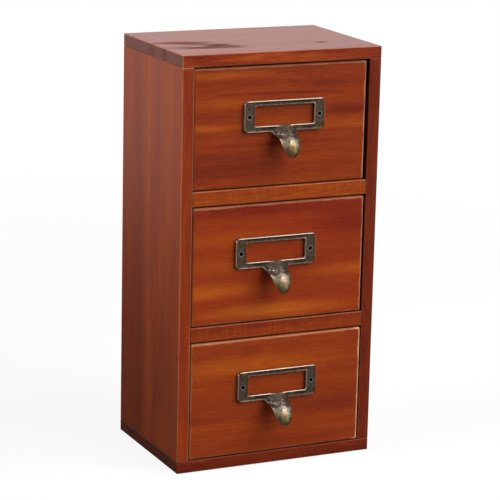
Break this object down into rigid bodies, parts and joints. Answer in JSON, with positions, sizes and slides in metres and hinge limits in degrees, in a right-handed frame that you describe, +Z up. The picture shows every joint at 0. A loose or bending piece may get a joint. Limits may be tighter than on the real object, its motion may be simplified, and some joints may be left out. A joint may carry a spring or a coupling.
{
  "type": "desktop drawer cabinet",
  "caption": "Small upright desktop cabinet of stained wood, with equal inset drawers stacked one above the other, each pulled by a cast antique-brass label frame with a finger tongue.",
  "frame": {"origin": "centre of the cabinet's underside, where it stands", "axes": "+Z up, -Y out of the drawer fronts, +X to the right as seen from the front"},
  "size_m": [0.13, 0.1087, 0.255],
  "materials": {
    "stained_wood": "red-brown stain under satin lacquer",
    "drawer_wood": "thin wash of the same stain, no lacquer",
    "plywood": "thin wash of stain on plywood",
    "beech": "bare fluted dowel",
    "antique_brass": "darkened cast brass, worn bright on the rims",
    "dark_brass": "darkened",
    "steel": "bright wire"
  },
  "bodies": {
    "cabinet": {"top_board": "stained_wood", "bottom_board": "stained_wood", "left_side": "stained_wood", "right_side": "stained_wood", "upper_divider": "stained_wood", "lower_divider": "stained_wood", "back_panel": "plywood", "carcass_dowels": "beech", "back_panel_pins": "steel"},
    "top_drawer": {"top_drawer_front": "stained_wood", "top_drawer_left_side": "drawer_wood", "top_drawer_right_side": "drawer_wood", "top_drawer_back": "drawer_wood", "top_drawer_base": "plywood", "top_drawer_pull": "antique_brass", "top_drawer_pull_screws": "dark_brass", "top_drawer_pins": "steel"},
    "middle_drawer": {"middle_drawer_front": "stained_wood", "middle_drawer_left_side": "drawer_wood", "middle_drawer_right_side": "drawer_wood", "middle_drawer_back": "drawer_wood", "middle_drawer_base": "plywood", "middle_drawer_pull": "antique_brass", "middle_drawer_pull_screws": "dark_brass", "middle_drawer_pins": "steel"},
    "bottom_drawer": {"bottom_drawer_front": "stained_wood", "bottom_drawer_left_side": "drawer_wood", "bottom_drawer_right_side": "drawer_wood", "bottom_drawer_back": "drawer_wood", "bottom_drawer_base": "plywood", "bottom_drawer_pull": "antique_brass", "bottom_drawer_pull_screws": "dark_brass", "bottom_drawer_pins": "steel"}
  },
  "joints": [
    {"name": "top_drawer_slide", "type": "slide", "parent": "cabinet", "child": "top_drawer", "axis": [0, -1, 0], "range_m": [0, 0.07]},
    {"name": "middle_drawer_slide", "type": "slide", "parent": "cabinet", "child": "middle_drawer", "axis": [0, -1, 0], "range_m": [-0.0007, 0.07]},
    {"name": "bottom_drawer_slide", "type": "slide", "parent": "cabinet", "child": "bottom_drawer", "axis": [0, -1, 0], "range_m": [-0.0014, 0.07]}
  ]
}
